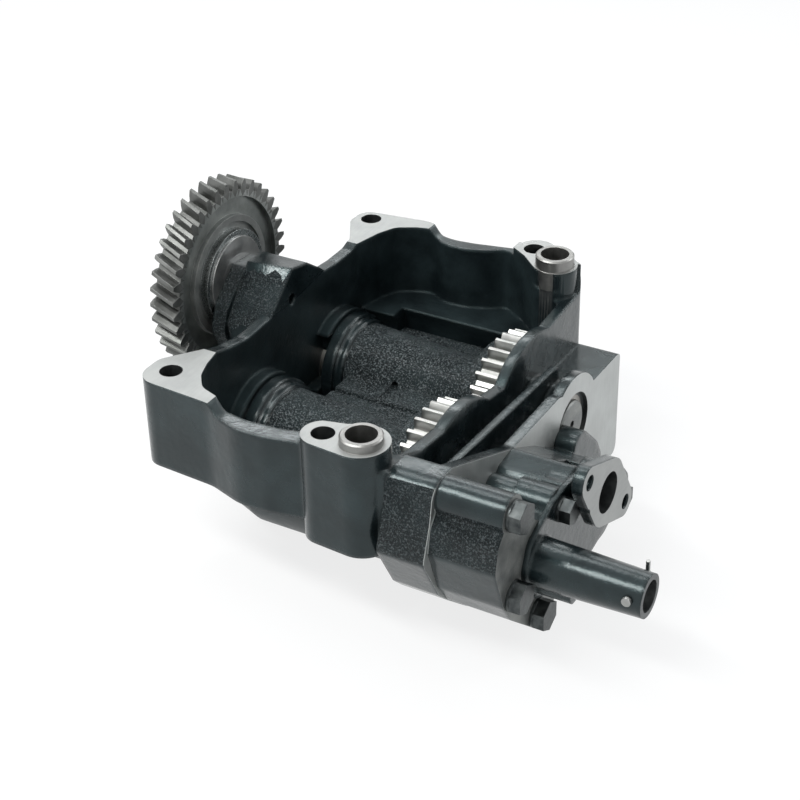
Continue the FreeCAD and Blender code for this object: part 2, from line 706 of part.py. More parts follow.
def make_shafts():
    far = new_body("far_balance_shaft", "0", "shaft_half_spacing", "-shaft_drop")
    turned(far, shaft_profile("far_boss_outer_x - 1", [
        ("rear_face_x - 1.6", "rear_journal_radius"), ("rear_face_x - 0.6", "rear_journal_radius - 1"),
        ("rear_face_x - 0.6", "0")]))
    add_weight(far)
    oil_hole = new_sketch(far, "XZ_Plane", "10")
    add_circle(oil_hole, "66.6", "9.5", "2.4")
    pocket(far, oil_hole, "30")
    pad_circle(far, "YZ_Plane", "drive_gear_front_x", "0", "0", "pinion_seat_radius",
               "far_boss_outer_x - 0.5 - drive_gear_front_x")
    pocket_circle(far, "YZ_Plane", "drive_gear_front_x - 1", "0", "0", "pinion_bolt_radius", "31")
    pocket_circle(far, "YZ_Plane", "rear_face_x - 9", "0", "0", "2.6", "12")
    near = new_body("near_balance_shaft", "0", "-shaft_half_spacing", "-shaft_drop")
    turned(near, shaft_profile("near_boss_outer_x + 1", [
        ("rear_face_x", "rear_journal_radius"), ("rear_face_x", "pump_shaft_radius"),
        ("rear_face_x + pump_pocket_depth + 6", "pump_shaft_radius"),
        ("rear_face_x + pump_pocket_depth + 6", "0")]))
    add_weight(near)


def make_timing_gears():
    half_step = 180.0 / size("timing_teeth")
    phases = {"near": size("timing_phase_deg"), "far": half_step - size("timing_phase_deg")}
    for side, sign in (("near", "-"), ("far", "")):
        body = new_body(f"{side}_timing_gear", "0", f"{sign}shaft_half_spacing", "-shaft_drop")
        edges = tooth_edges(int(size("timing_teeth")), timing_module(),
                            math.radians(size("pressure_angle_deg")), timing_module(),
                            math.radians(phases[side]))
        pad_edges(body, "YZ_Plane", "flange_rear_x", edges, "timing_gear_width")
        pocket_circle(body, "YZ_Plane", "flange_rear_x - 1", "0", "0", "gear_seat_radius",
                      "timing_gear_width + 2")


# Drive gear on its spindle, and the pinion on the far shaft

def mesh_phase(teeth, phase, mate_teeth, direction):
    """Phase of a mating gear, where direction points from the first gear to the mate."""
    step = 2 * math.pi / teeth
    offset = (phase - direction) % step
    return direction + math.pi - offset * teeth / mate_teeth + math.pi / mate_teeth


def make_helical_pair():
    helix = math.radians(size("helix_angle_deg"))
    module = timing_module() / math.cos(helix)
    teeth = int(size("drive_teeth"))
    pinion_teeth = int(size("pinion_teeth"))
    width = size("drive_gear_width")
    front = size("drive_gear_front_x")
    height = gear_height_value()
    bush_radius = size("spindle_radius") + size("gear_bush_wall")
    gear_twist = math.tan(helix) / (teeth * module / 2)
    pinion_twist = -math.tan(helix) / (pinion_teeth * module / 2)
    phase = math.radians(size("drive_phase_deg"))

    gear = helical_gear(teeth, phase, gear_twist, width, 2)
    hub_end = width + size("hub_disc_stand") - 0.1
    hub = cylinder_x(0, hub_end, size("hub_disc_radius"))
    recess = size("rim_recess_depth")
    for start in (-1.0, width - recess):
        ring = cylinder_x(start, start + recess + 1, size("rim_recess_radius"))
        ring = ring.cut(cylinder_x(start - 1, start + recess + 2, size("hub_ring_radius")))
        gear = gear.cut(ring)
    groove = cylinder_x(width - recess / 2, width + 1, size("hub_ring_radius") - 4)
    groove = groove.cut(cylinder_x(width - recess, width + 2, size("hub_disc_radius")))
    gear = gear.cut(groove).fuse(hub).cut(cylinder_x(-1, hub_end + 1, bush_radius)).removeSplitter()
    shape_part("drive_gear", gear, front, 0.0, height)

    direction = math.atan2(-size("shaft_drop") - height, size("shaft_half_spacing"))
    pinion_phase = mesh_phase(teeth, phase, pinion_teeth, direction)
    pinion = helical_gear(pinion_teeth, pinion_phase, pinion_twist, width, 3)
    collar = cylinder_x(width, size("far_boss_outer_x") - 1.5 - front, size("pinion_seat_radius") + 4)
    pinion = pinion.fuse(collar).cut(cylinder_x(-1, width + 30, size("pinion_seat_radius")))
    shape_part("drive_pinion", pinion.removeSplitter(), front, size("shaft_half_spacing"), -size("shaft_drop"))


def make_spindle():
    height = gear_height()
    rear = "drive_gear_front_x + drive_gear_width + hub_disc_stand"
    gear_bush = new_body("gear_bush", "0", "0", height)
    turned(gear_bush, tube_profile("drive_gear_front_x", f"{rear} - 0.1", "spindle_radius + running_clearance",
                                   "spindle_radius + gear_bush_wall"))
    spindle = new_body("gear_spindle", "0", "0", height)
    turned(spindle, [("drive_gear_front_x - 0.2", "spindle_bolt_radius"),
                     ("spindle_spigot_end_x", "spindle_bolt_radius"),
                     ("spindle_spigot_end_x", "spindle_spigot_radius"),
                     ("gear_boss_flange_x", "spindle_spigot_radius"), ("gear_boss_flange_x", "spindle_radius"),
                     ("drive_gear_front_x - 0.2", "spindle_radius")])
    washer = new_body("spindle_washer", "0", "0", height)
    start = "drive_gear_front_x - 0.2 - spindle_washer_thickness"
    turned(washer, tube_profile(start, "drive_gear_front_x - 0.2", "spindle_bolt_radius",
                                "spindle_washer_radius"))
    make_bolt("spindle_bolt", start, "0", height, "spindle_bolt_radius", 18.0, "48", True)
    rear_washer = new_body("hub_thrust_ring", "0", "0", height)
    turned(rear_washer, tube_profile(f"{rear}", "gear_boss_flange_x", "spindle_radius", "hub_disc_radius - 4"))
    pinion_washer = new_body("pinion_washer", "0", "shaft_half_spacing", "-shaft_drop")
    turned(pinion_washer, tube_profile("drive_gear_front_x - 4", "drive_gear_front_x", "pinion_bolt_radius",
                                       "pinion_washer_radius + 3"))
    make_bolt("pinion_bolt", "drive_gear_front_x - 4", "shaft_half_spacing", "-shaft_drop",
              "pinion_bolt_radius", 16.0, "28", True)


def make_bolt(name, seat, y, z, radius, across, length, backward=False):
    """A flanged hexagon bolt along X whose head sits on the plane x = seat."""
    body = new_body(name, seat, y, z)
    starts = ("0", "bolt_flange_height", f"-({length})")
    if backward:
        starts = ("-bolt_flange_height", "-bolt_flange_height - bolt_head_height", "0")
    pad_circle(body, "YZ_Plane", starts[0], "0", "0", str(across / 2 + 0.8), "bolt_flange_height")
    pad_edges(body, "YZ_Plane", starts[1], hexagon(across), "bolt_head_height")
    pad_circle(body, "YZ_Plane", starts[2], "0", "0", radius, length)
    return body


def make_bolts(label, places, seat, radius, across, length):
    """Identical bolts as separate solids of one sub-part."""
    group = doc.addObject("Part::Compound", label)
    group.Label = label
    group.Links = [make_bolt(f"{label}_{k + 1}", seat, y, z, radius, across, length)
                   for k, (y, z) in enumerate(places)]
    return group

# Oil pump: its body holds two spur gears against the housing's rear face, and its cover carries
# the suction elbow and the relief valve's tube.

def slope_spot(along):
    """A place on the sloping line through the suction port, this far along it."""
    slope = math.radians(size("flange_slope_deg"))
    return size("port_y") + along * math.cos(slope), size("port_z") - along * math.sin(slope)


def body_section():
    """Section of the pump body; its near flank continues the housing's bulkhead."""
    return rounded([
        (-121, -26, 3), (-128, -34, 6), (-131, -48, 8), (-121, -76, 12), (-111.5, -90, 12),
        (-85, -113.5, 12), (-40, -110, 10), (6, -108, 12), (30, -98, 8), (38, -87, 6), (24, -73, 8),
        (-7, -53, 10), (-36, -38, 3), (-52, -40, 3), (-61, -49, 0), (-80, -46, 4), (-98, -32, 6), (-106, -20, 4)])


def ear_section():
    """Section of the pump body's thin ear below the far shaft's bore."""
    return rounded([(20, -62, 8), (31, -59.5, 8), (51, -79, 16), (58, -92, 10), (54, -108, 10), (10, -100, 5)])


def dome_section(radius, first, last):
    """Two round ends joined along the sloping line; first and last are measured from the port."""
    return hull([(*slope_spot(first), radius), (*slope_spot(last), radius)])


def make_pump_body():
    body = new_body("pump_body")
    start = "rear_face_x"
    length = "pump_rear_x - rear_face_x"
    pad_edges(body, "YZ_Plane", start, body_section(), length)
    pad_edges(body, "YZ_Plane", start, ear_section(), "pump_ear_thickness")
    pad_circle(body, "YZ_Plane", start, *PUMP_BOLTS[0], "pump_ridge_radius", length)
    ridge_step = "pump_ear_thickness + 4"
    pad_circle(body, "YZ_Plane", f"rear_face_x + {ridge_step}", *COVER_BOLTS[0], "pump_ridge_radius",
               f"pump_rear_x - rear_face_x - ({ridge_step})")
    pad_circle(body, "YZ_Plane", start, *COVER_BOLTS[0], "pump_ridge_radius - 2.5", length)
    facet = rounded([(-97, -26.5, 1), (-84, -31, 1), (-79, -40, 1), (-84, -50, 1), (-97, -50, 1)])
    pad_edges(body, "YZ_Plane", start, facet, "pump_ear_thickness + 2")
    driver = "-shaft_half_spacing"
    driven = "-shaft_half_spacing - pump_module * pump_teeth"
    for y in (driver, driven):
        pocket_circle(body, "YZ_Plane", "rear_face_x - 1", y, "-shaft_drop",
                      "pump_module * (pump_teeth / 2 + 1) + pump_tip_clearance", "pump_pocket_depth + 1")
    pocket_circle(body, "YZ_Plane", "rear_face_x + pump_pocket_depth - 1", driver, "-shaft_drop",
                  "pump_shaft_radius + running_clearance", "9")
    pocket_circle(body, "YZ_Plane", "rear_face_x + pump_pocket_depth - 1", driven, "-shaft_drop",
                  "idler_radius", "8")
    inlet = rounded([(-23, -40, 6), (-23, -55, 6), (-58, -55, 3), (-66, -60, 2), (-68, -52, 3), (-50, -40, 6)])
    pocket_edges(body, "YZ_Plane", "rear_face_x + pump_pocket_depth - 1", inlet, "20")
    for y, z in PUMP_BOLTS:
        pocket_circle(body, "YZ_Plane", "rear_face_x - 1", y, z, "pump_bolt_radius", f"{length} + 2")
    for y, z in COVER_BOLTS:
        pocket_circle(body, "YZ_Plane", "pump_rear_x - 12", y, z, "cover_bolt_radius", "14")
    return body


def make_pump_cover():
    body = new_body("pump_cover")
    plate = rounded([(-72, -40, 10), (-54, -38, 8), (-36, -39, 8), (-7, -54, 12), (24, -73, 10),
                     (33, -84, 8), (24, -95, 9), (4, -99.5, 10), (-36, -109, 10), (-90, -90, 14),
                     (-103, -68, 14), (-96, -50, 10)])
    pad_edges(body, "YZ_Plane", "pump_rear_x", plate, "cover_plate_rear_x - pump_rear_x")
    elbow = body.newObject("PartDesign::AdditiveLoft", "cover_elbow")
    root = new_sketch(body, "YZ_Plane", "pump_rear_x + 1")
    add_edges(root, dome_section(16, 2, 24))
    throat = new_sketch(body, "YZ_Plane", "flange_plane_x - suction_flange_thickness")
    add_edges(throat, dome_section(14.5, -4, 14))
    elbow.Profile = root
    elbow.Sections = [throat]
    elbow.Ruled = True
    elbow.Refine = False
    body.Tip = elbow
    reach = size("flange_hole_half_spacing")
    eye = size("flange_eye_radius")
    flange = hull([(*slope_spot(-reach), eye), (*slope_spot(0), size("flange_middle_radius")),
                   (*slope_spot(reach), eye), (*slope_spot(0.01), size("flange_middle_radius"))])
    pad_edges(body, "YZ_Plane", "flange_plane_x - suction_flange_thickness", flange,
              "suction_flange_thickness")
    # Tube of the relief valve, tapering to its open end, with a low rib below it
    tube = body.newObject("PartDesign::AdditiveLoft", "cover_tube")
    first = new_sketch(body, "YZ_Plane", "pump_rear_x + 2")
    add_circle(first, "valve_y", "valve_z", "valve_root_radius")
    last = new_sketch(body, "YZ_Plane", "valve_end_x")
    add_circle(last, "valve_y", "valve_z", "valve_end_radius")
    tube.Profile = first
    tube.Sections = [last]
    tube.Refine = False
    body.Tip = tube
    lower = rounded([(-92, -74, 2), (-80, -74, 2), (-80, -86, 5), (-92, -86, 5)])
    pad_edges(body, "YZ_Plane", "pump_rear_x + 2", lower, "22")
    # Suction passage, valve bore, bolt holes and cross holes
    pocket_circle(body, "YZ_Plane", "pump_rear_x + 3", "port_y", "port_z", "port_radius", "40")
    pocket_circle(body, "YZ_Plane", "valve_seat_x", "valve_y", "valve_z", "valve_bore_radius", "80")
    pocket_circle(body, "YZ_Plane", "pump_rear_x - 1", "valve_y", "valve_z", "5", "40")
    slope = "flange_slope_deg * 1deg"
    for sign in ("-", "+"):
        pocket_circle(body, "YZ_Plane", "flange_plane_x - suction_flange_thickness - 8",
                      f"port_y {sign} flange_hole_half_spacing * cos({slope})",
                      f"port_z - ({sign}1) * flange_hole_half_spacing * sin({slope})",
                      "flange_hole_radius", "suction_flange_thickness + 10")
    for y, z in COVER_BOLTS:
        pocket_circle(body, "YZ_Plane", "pump_rear_x - 1", y, z, "cover_bolt_radius", "20")
    cross = new_sketch(body, "XZ_Plane", "-valve_y - 20")
    add_circle(cross, "split_pin_x", "valve_z + split_pin_rise", "split_pin_radius")
    pocket(body, cross, "40")
    return body


def make_pump_gears():
    teeth = int(size("pump_teeth"))
    module = size("pump_module")
    pressure = math.radians(size("pump_pressure_angle_deg"))
    width = "pump_pocket_depth - 2 * pump_end_clearance"
    start = "rear_face_x + pump_end_clearance"
    driver = new_body("pump_drive_gear", "0", "-shaft_half_spacing", "-shaft_drop")
    pad_edges(driver, "YZ_Plane", start, tooth_edges(teeth, module, pressure, module, 0.0), width)
    pocket_circle(driver, "YZ_Plane", "rear_face_x - 1", "0", "0", "pump_shaft_radius",
                  "pump_pocket_depth + 2")
    driven_y = "-shaft_half_spacing - pump_module * pump_teeth"
    driven = new_body("pump_driven_gear", "0", driven_y, "-shaft_drop")
    phase = mesh_phase(teeth, 0.0, teeth, math.pi)
    pad_edges(driven, "YZ_Plane", start, tooth_edges(teeth, module, pressure, module, phase), width)
    pocket_circle(driven, "YZ_Plane", "rear_face_x - 1", "0", "0", "idler_radius + running_clearance",
                  "pump_pocket_depth + 2")
    spindle = new_body("pump_idler_spindle", "0", driven_y, "-shaft_drop")
    turned(spindle, [("rear_face_x + 0.3", "0"), ("rear_face_x + 0.3", "idler_radius - 1"),
                     ("rear_face_x + 1.3", "idler_radius"),
                     ("rear_face_x + pump_pocket_depth + 7", "idler_radius"),
                     ("rear_face_x + pump_pocket_depth + 7", "0")])


def make_relief_valve():
    y = "valve_y"
    z = "valve_z"
    plunger = new_body("relief_plunger", "0", y, z)
    turned(plunger, [("valve_seat_x", "0"), ("valve_seat_x", "plunger_radius - 2"),
                     ("valve_seat_x + 2", "plunger_radius"),
                     ("valve_seat_x + plunger_length", "plunger_radius"),
                     ("valve_seat_x + plunger_length", "plunger_radius - 2.2"),
                     ("valve_seat_x + 4", "plunger_radius - 2.2"), ("valve_seat_x + 4", "0")])
    cap = new_body("relief_cap", "0", y, z)
    cap_rear = "split_pin_x - split_pin_radius"
    turned(cap, [(f"{cap_rear} - cap_thickness", "0"), (f"{cap_rear} - cap_thickness", "plunger_radius"),
                 (cap_rear, "plunger_radius"), (cap_rear, "0")])
    pin = new_body("relief_split_pin", "split_pin_x", y, "valve_z + split_pin_rise")
    stem = new_sketch(pin, "XZ_Plane", "-valve_end_radius - 2.8")
    add_circle(stem, "0", "0", "split_pin_radius")
    pad(pin, stem, "2 * valve_end_radius + 4")
    head = new_sketch(pin, "XZ_Plane", "valve_end_radius + 0.3")
    add_circle(head, "0", "0", "split_pin_head_radius")
    pad(pin, head, "1.8")
    pad_circle(pin, "XY_Plane", "0", "0", "valve_end_radius + 1.4", "1.2", "split_pin_leg")

    start = size("valve_seat_x") + 4.2
    end = size("split_pin_x") - size("split_pin_radius") - size("cap_thickness") - 0.2
    shape_part("relief_spring", coil_spring(end - start), start, size("valve_y"), size("valve_z"))


def coil_spring(length):
    """A compression spring along X from x = 0, of six-sided wire in short straight steps."""
    wire_radius = size("spring_wire_radius")
    coil_radius = size("plunger_radius") - 2.7 - wire_radius
    count = int(size("spring_coils") * size("spring_steps"))
    rings = []
    for k in range(count + 1):
        x = wire_radius + (length - 2 * wire_radius) * k / count
        angle = 2 * math.pi * k / size("spring_steps")
        spots = []
        for corner in range(6):
            turn = math.pi * corner / 3
            radius = coil_radius + wire_radius * math.cos(turn)
            spots.append(Vector(x + wire_radius * math.sin(turn), radius * math.cos(angle), radius * math.sin(angle)))
        rings.append([Part.LineSegment(spots[i], spots[(i + 1) % 6]).toShape() for i in range(6)])
    return ruled_solid(rings)


def make_pump_fasteners():
    make_bolts("pump_bolts", PUMP_BOLTS, "pump_rear_x", "pump_bolt_radius", 16.0,
               "pump_rear_x - rear_face_x + pump_bolt_grip")
    make_bolts("cover_bolts", COVER_BOLTS, "cover_plate_rear_x", "cover_bolt_radius", 13.0,
               "cover_plate_rear_x - pump_rear_x + cover_bolt_grip")


def main():
    housing = make_housing()
    make_dowels()
    make_bushes()
    make_shafts()
    make_timing_gears()
    make_helical_pair()
    make_spindle()
    castings = [housing, make_pump_body(), make_pump_cover()]
    make_pump_gears()
    make_relief_valve()
    make_pump_fasteners()
    # Faces that several features share become one face on each casting
    for body in castings:
        body.Tip.Refine = True


main()
doc.recompute()

kinds = ("PartDesign::Body", "Part::Feature", "Part::Compound")
grouped = [link.Name for item in doc.Objects if item.TypeId == "Part::Compound" for link in item.Links]
nodes = [item for item in doc.Objects if item.TypeId in kinds and item.Name not in grouped]
for item in doc.Objects:
    if "Invalid" in item.State or "Error" in item.State:
        raise RuntimeError(f"{item.Label}: {item.State}")
os.makedirs("parts", exist_ok=True)
for item in nodes:
    if item.Shape.isNull() or not item.Shape.isValid():
        raise RuntimeError(f"{item.Label} has no valid shape")
    item.Shape.exportStep(f"parts/{item.Label}.step")
    print(item.Label, len(item.Shape.Solids), round(item.Shape.Volume / 1000, 1), "cm3")
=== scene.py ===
import math

import bpy
from mathutils import Matrix, Vector


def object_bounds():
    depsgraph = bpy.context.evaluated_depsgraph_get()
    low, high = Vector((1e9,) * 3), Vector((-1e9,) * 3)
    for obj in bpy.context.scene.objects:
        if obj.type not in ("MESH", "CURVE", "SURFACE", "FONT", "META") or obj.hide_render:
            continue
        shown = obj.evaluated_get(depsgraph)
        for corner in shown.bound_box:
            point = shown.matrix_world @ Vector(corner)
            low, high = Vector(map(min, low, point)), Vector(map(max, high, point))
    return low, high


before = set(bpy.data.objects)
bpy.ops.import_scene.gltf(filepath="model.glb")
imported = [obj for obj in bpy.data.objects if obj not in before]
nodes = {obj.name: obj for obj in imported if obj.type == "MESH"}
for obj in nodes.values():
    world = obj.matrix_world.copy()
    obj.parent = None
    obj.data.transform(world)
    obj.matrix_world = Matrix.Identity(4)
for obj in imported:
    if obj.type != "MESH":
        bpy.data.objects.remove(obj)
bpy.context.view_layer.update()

print("frame loaded:", len(nodes), "CAD nodes")


# Node tree helpers

bevelSamples = 4


def startMaterial(name):
    material = bpy.data.materials.new(name)
    material.use_nodes = True
    tree = material.node_tree
    tree.nodes.clear()
    output = tree.nodes.new("ShaderNodeOutputMaterial")
    shader = tree.nodes.new("ShaderNodeBsdfPrincipled")
    tree.links.new(shader.outputs["BSDF"], output.inputs["Surface"])
    place = tree.nodes.new("ShaderNodeTexCoord").outputs["Object"]
    return material, tree, shader, place


def addNoise(tree, place, scale, detail, rough, stretch=None):
    if stretch:
        mapping = tree.nodes.new("ShaderNodeMapping")
        mapping.inputs["Scale"].default_value = stretch
        tree.links.new(place, mapping.inputs["Vector"])
        place = mapping.outputs["Vector"]
    noise = tree.nodes.new("ShaderNodeTexNoise")
    noise.inputs["Scale"].default_value = scale
    noise.inputs["Detail"].default_value = detail
    noise.inputs["Roughness"].default_value = rough
    tree.links.new(place, noise.inputs["Vector"])
    return noise.outputs["Fac"]


# span holds the two places where the ramp has its two colours
def addRamp(tree, source, span, colours):
    ramp = tree.nodes.new("ShaderNodeValToRGB")
    for element, where, colour in zip(ramp.color_ramp.elements, span, colours):
        element.position = where
        element.color = (*colour, 1.0)
    tree.links.new(source, ramp.inputs["Fac"])
    return ramp.outputs["Color"]


def addRange(tree, source, span, result):
    node = tree.nodes.new("ShaderNodeMapRange")
    node.inputs["From Min"].default_value = span[0]
    node.inputs["From Max"].default_value = span[1]
    node.inputs["To Min"].default_value = result[0]
    node.inputs["To Max"].default_value = result[1]
    tree.links.new(source, node.inputs["Value"])
    return node.outputs["Result"]


# Sockets 6 and 7 of the Mix node take its colours, and output 2 gives the colour
def mixColours(tree, factor, first, second):
    node = tree.nodes.new("ShaderNodeMix")
    node.data_type = "RGBA"
    tree.links.new(factor, node.inputs["Factor"])
    for socket, value in ((node.inputs[6], first), (node.inputs[7], second)):
        if isinstance(value, tuple):
            socket.default_value = (*value, 1.0)
        else:
            tree.links.new(value, socket)
    return node.outputs[2]


def mixShaders(tree, factor, first, second):
    blend = tree.nodes.new("ShaderNodeMixShader")
    tree.links.new(factor, blend.inputs["Fac"])
    tree.links.new(first.outputs[0], blend.inputs[1])
    tree.links.new(second.outputs[0], blend.inputs[2])
    return blend.outputs[0]


def addMath(tree, operation, first, second):
    node = tree.nodes.new("ShaderNodeMath")
    node.operation = operation
    for socket, value in zip(node.inputs, (first, second)):
        if isinstance(value, (int, float)):
            socket.default_value = value
        else:
            tree.links.new(value, socket)
    return node.outputs[0]


def addBump(tree, height, strength, distance, below):
    bump = tree.nodes.new("ShaderNodeBump")
    bump.inputs["Strength"].default_value = strength
    bump.inputs["Distance"].default_value = distance
    tree.links.new(height, bump.inputs["Height"])
    tree.links.new(below, bump.inputs["Normal"])
    return bump.outputs["Normal"]


def roundedEdges(tree, radius):
    bevel = tree.nodes.new("ShaderNodeBevel")
    bevel.samples = bevelSamples
    bevel.inputs["Radius"].default_value = radius
    return bevel.outputs["Normal"]


# 1 on sharp edges and 0 on flat faces
def edgeMask(tree, radius, span):
    rounded = roundedEdges(tree, radius)
    geometry = tree.nodes.new("ShaderNodeNewGeometry")
    dot = tree.nodes.new("ShaderNodeVectorMath")
    dot.operation = "DOT_PRODUCT"
    tree.links.new(rounded, dot.inputs[0])
    tree.links.new(geometry.outputs["Normal"], dot.inputs[1])
    return addRange(tree, dot.outputs["Value"], span, (1.0, 0.0))


# Gloss black enamel over a sand casting
# A noise is scale, detail and roughness, a bump is strength and distance in metres

enamel = {
    "deep": (0.0035, 0.0055, 0.0065),
    "grey": (0.013, 0.020, 0.022),
    "patchNoise": (35.0, 4.0, 0.6),
    "patchSpan": (0.35, 0.7),
    "roughSpan": (0.3, 0.75),
    "sheen": (0.68, 0.955, 0.99),
    "edgeRadius": 0.0030,
    "wear": (0.10, 0.11, 0.112),
    "wearNoise": (220.0, 3.0, 0.7),
    "wearSpan": (0.48, 0.75),
    "wearMost": 0.8,
    "wearRadius": 0.0009,
    "wearEdge": (0.90, 0.995),
    "grainNoise": (980.0, 3.0, 0.62),
    # a light colour painted on the grain peaks as glints, standing in for the sparkle of light on the rough
    # casting
    "paintedGlint": (0.22, 0.248, 0.256),
    "paintedGlintSpan": (0.50, 0.69),
    "peelNoise": (240.0, 3.0, 0.55),
    "peelBump": (0.3, 0.0005),
    "swellNoise": (75.0, 2.0, 0.5),
    "swellBump": (0.25, 0.0010),
    "seam": (0.50, 0.52, 0.51),
    "seamPlace": 0.1736,
    "seamHalfWidth": 0.0004,
}


def makeEnamel(name, grainBump, rough, coat=0.4, coatRough=0.06, paintedGlintAmount=0.0, shine=0.28, seam=False):
    material, tree, shader, place = startMaterial(name)
    patches = addNoise(tree, place, *enamel["patchNoise"])
    grain = addNoise(tree, place, *enamel["grainNoise"])
    peel = addNoise(tree, place, *enamel["peelNoise"])
    base = addRamp(tree, patches, enamel["patchSpan"], (enamel["deep"], enamel["grey"]))
    worn = edgeMask(tree, enamel["wearRadius"], enamel["wearEdge"])
    wearNoise = addNoise(tree, place, *enamel["wearNoise"])
    wearPatches = addRange(tree, wearNoise, enamel["wearSpan"], (0.0, enamel["wearMost"]))
    colour = mixColours(tree, addMath(tree, "MULTIPLY", worn, wearPatches), base, enamel["wear"])
    # Light specks on the grain peaks are painted glints: they stand in for the sparkle of light on the rough
    # casting
    if paintedGlintAmount:
        paintedGlints = addRange(tree, grain, enamel["paintedGlintSpan"], (0.0, paintedGlintAmount))
        colour = mixColours(tree, paintedGlints, colour, enamel["paintedGlint"])
    if seam:
        split = tree.nodes.new("ShaderNodeSeparateXYZ")
        tree.links.new(place, split.inputs["Vector"])
        near = addMath(tree, "COMPARE", split.outputs["X"], enamel["seamPlace"])
        near.node.inputs[2].default_value = enamel["seamHalfWidth"]
        colour = mixColours(tree, near, colour, enamel["seam"])
    tree.links.new(colour, shader.inputs["Base Color"])
    tree.links.new(addRange(tree, patches, enamel["roughSpan"], rough), shader.inputs["Roughness"])
    shader.inputs["Specular IOR Level"].default_value = shine
    shader.inputs["Specular Tint"].default_value = (*enamel["sheen"], 1.0)
    shader.inputs["Coat Weight"].default_value = coat
    shader.inputs["Coat Roughness"].default_value = coatRough
    soft = roundedEdges(tree, enamel["edgeRadius"])
    swell = addNoise(tree, place, *enamel["swellNoise"])
    waves = addBump(tree, peel, *enamel["peelBump"], addBump(tree, swell, *enamel["swellBump"], soft))
    normal = addBump(tree, grain, *grainBump, waves)
    tree.links.new(normal, shader.inputs["Normal"])
    tree.links.new(normal, shader.inputs["Coat Normal"])
    return material


paint = makeEnamel("enamelSmooth", grainBump=(0.12, 0.0004), rough=(0.20, 0.34))
# The sand-cast faces carry painted glint specks on their grain
paintRough = makeEnamel("enamelSandCast", grainBump=(1.0, 0.0018), rough=(0.20, 0.34), coat=0.26,
                        paintedGlintAmount=0.36, shine=0.10, seam=True)
paintInside = makeEnamel("enamelInside", grainBump=(0.25, 0.0006), rough=(0.34, 0.52), coat=0.12)
print("enamel ready")


# Bare steel and iron

bareMetal = {
    "cloudDetail": 4.0,
    "cloudRoughness": 0.6,
    "cloudSpan": (0.3, 0.7),
    "markNoise": (900.0, 2.0, 0.6),
    "markDepth": 0.0001,
    "share": 0.5,
    "roughSpan": (0.35, 0.65),
    "edgeRadius": 0.0004,
    "boltEdgeRadius": 0.0006,
}

# cloud is the scale of the light and dark patches, stretch draws the marks out along one axis
metals = {
    "milledIron": {
        "light": (0.40, 0.41, 0.405), "dark": (0.31, 0.32, 0.317), "rough": (0.48, 0.64),
        "cloud": 45.0, "stretch": (1.0, 0.08, 1.0), "marks": 0.25,
    },
    # A lighter copy of milled iron for the rear joint face: the extra brightness over the pad tops is painted
    # light, not a different metal
    "milledIronRearPaintedBright": {
        "light": (0.50, 0.52, 0.515), "dark": (0.40, 0.415, 0.41), "rough": (0.40, 0.58),
        "cloud": 45.0, "stretch": (1.0, 1.0, 0.08), "marks": 0.25,
    },
    "turnedIronDull": {
        "light": (0.30, 0.31, 0.30), "dark": (0.17, 0.18, 0.18), "rough": (0.45, 0.62),
        "cloud": 70.0, "stretch": None, "marks": 0.2,
    },
    "boredIron": {
        "light": (0.16, 0.17, 0.17), "dark": (0.07, 0.075, 0.08), "rough": (0.35, 0.55),
        "cloud": 90.0, "stretch": None, "marks": 0.2,
    },
    "gearSteelBright": {
        "light": (0.44, 0.44, 0.43), "dark": (0.26, 0.27, 0.26), "rough": (0.28, 0.46),
        "cloud": 80.0, "stretch": (0.1, 1.0, 1.0), "marks": 0.2,
    },
    "gearSteelDark": {
        "light": (0.36, 0.38, 0.37), "dark": (0.20, 0.215, 0.208), "rough": (0.34, 0.50),
        "cloud": 60.0, "stretch": (0.1, 1.0, 1.0), "marks": 0.2,
    },
    "gearSteelTeeth": {
        "light": (0.20, 0.205, 0.20), "dark": (0.10, 0.105, 0.10), "rough": (0.40, 0.56),
        "cloud": 70.0, "stretch": (0.1, 1.0, 1.0), "marks": 0.2,
    },
    "hubGroundDisc": {
        "light": (0.40, 0.42, 0.42), "dark": (0.28, 0.30, 0.30), "rough": (0.22, 0.34),
        "cloud": 30.0, "stretch": None, "marks": 0.1,
    },
    "dowelSteel": {
        "light": (0.30, 0.30, 0.29), "dark": (0.20, 0.20, 0.195), "rough": (0.34, 0.48),
        "cloud": 120.0, "stretch": (1.0, 1.0, 0.1), "marks": 0.15,
    },
    "turnedSteel": {
        "light": (0.52, 0.52, 0.51), "dark": (0.38, 0.38, 0.38), "rough": (0.28, 0.42),
        "cloud": 100.0, "stretch": None, "marks": 0.15,
    },
    "bearingMetal": {
        "light": (0.36, 0.35, 0.33), "dark": (0.22, 0.215, 0.20), "rough": (0.30, 0.45),
        "cloud": 90.0, "stretch": None, "marks": 0.15,
    },
    "boltBlack": {
        "light": (0.11, 0.12, 0.12), "dark": (0.035, 0.04, 0.042), "rough": (0.30, 0.50),
        "cloud": 160.0, "stretch": None, "marks": 0.3, "edge": bareMetal["boltEdgeRadius"],
    },
}


